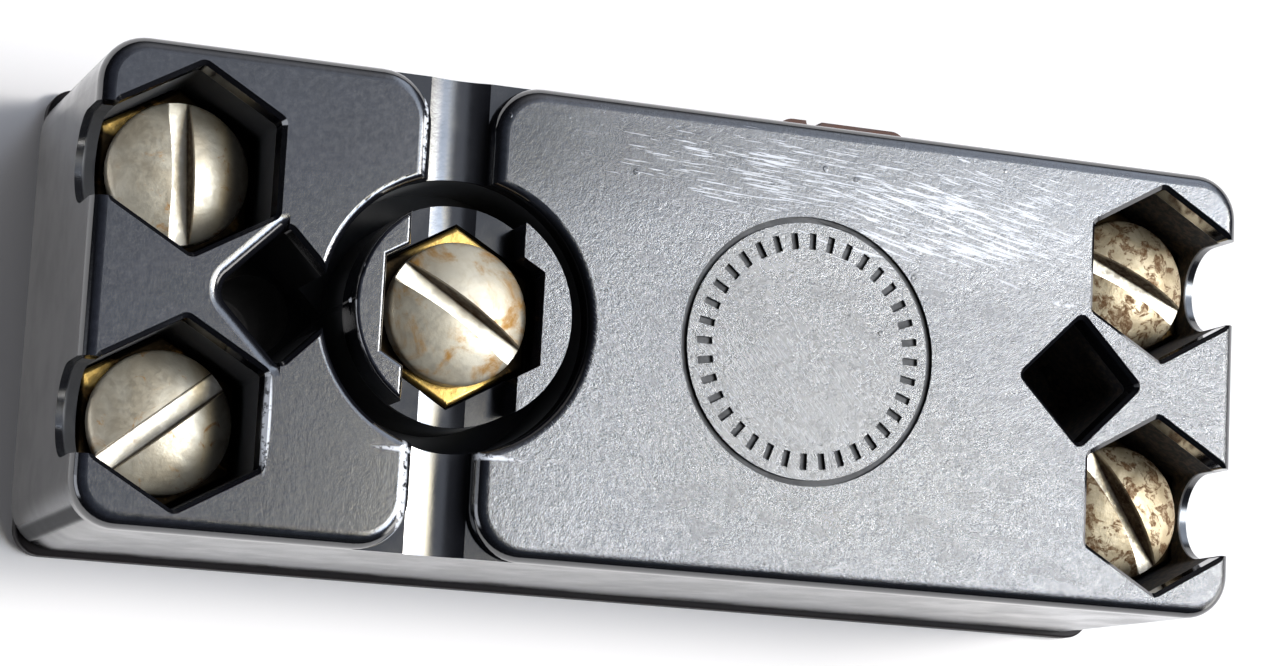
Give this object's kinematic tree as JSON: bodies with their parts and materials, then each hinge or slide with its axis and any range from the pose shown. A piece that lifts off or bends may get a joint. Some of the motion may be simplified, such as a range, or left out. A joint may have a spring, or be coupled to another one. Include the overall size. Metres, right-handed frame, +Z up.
{
  "type": "knife blade switch",
  "caption": "Enclosed knife blade switch: moulded rectangular case with recessed end screw terminals, a collared middle terminal, a cross wire groove and a side slide lug.",
  "frame": {"origin": "middle of the flat front, which the switch lies on", "axes": "+Z up through the terminal face, +X along the case towards the plain end of the face, +Y across it towards the side that the slide's lug comes out of"},
  "size_m": [0.066, 0.0292, 0.0188],
  "materials": {
    "case_moulding": "polished black phenolic moulding, lightly scratched",
    "cover_plate": "black phenolic sheet",
    "steel": "plated steel",
    "liner_fibre": "grey vulcanised fibre sheet",
    "brass": "worn brass",
    "screw_nickel": "tarnished nickel plate",
    "bronze": "rolled phosphor bronze strip",
    "copper": "stamped hard copper",
    "carrier_moulding": "moulded phenolic",
    "slide_fibre": "brown vulcanised fibre"
  },
  "bodies": {
    "housing": {"case": "case_moulding", "front_cover": "cover_plate", "cover_screws": "steel", "cover_liner": "liner_fibre", "centre_post": "brass", "common_strap": "bronze", "post_left_far": "brass", "post_left_near": "brass", "post_right_far": "brass", "post_right_near": "brass", "jaw_left_far": "bronze", "jaw_left_near": "bronze", "jaw_right_far": "bronze", "jaw_right_near": "bronze"},
    "slide": {"slide_bar": "slide_fibre", "blade_carrier": "carrier_moulding", "knife_blades": "copper", "slide_rivets": "brass"},
    "screw_centre_body": {"centre_screw": "screw_nickel"},
    "screw_left_far_body": {"screw_left_far": "screw_nickel"},
    "screw_left_near_body": {"screw_left_near": "screw_nickel"},
    "screw_right_far_body": {"screw_right_far": "screw_nickel"},
    "screw_right_near_body": {"screw_right_near": "screw_nickel"}
  },
  "joints": [
    {"name": "blade_slide", "type": "slide", "parent": "housing", "child": "slide", "axis": [-1, 0, 0], "range_m": [0, 0.0095]},
    {"name": "screw_centre_turn", "type": "hinge", "parent": "housing", "child": "screw_centre_body", "pos_m": [-0.0133, 0, 0.0165], "axis": [0, 0, 1], "range_deg": [0, 810]},
    {"name": "screw_left_far_turn", "type": "hinge", "parent": "housing", "child": "screw_left_far_body", "pos_m": [-0.02765, 0.0066, 0.0119], "axis": [0, 0, 1], "range_deg": [0, 810]},
    {"name": "screw_left_near_turn", "type": "hinge", "parent": "housing", "child": "screw_left_near_body", "pos_m": [-0.02765, -0.0066, 0.0119], "axis": [0, 0, 1], "range_deg": [0, 810]},
    {"name": "screw_right_far_turn", "type": "hinge", "parent": "housing", "child": "screw_right_far_body", "pos_m": [0.02815, 0.0066, 0.0119], "axis": [0, 0, 1], "range_deg": [0, 810]},
    {"name": "screw_right_near_turn", "type": "hinge", "parent": "housing", "child": "screw_right_near_body", "pos_m": [0.02815, -0.0066, 0.0119], "axis": [0, 0, 1], "range_deg": [0, 810]}
  ]
}
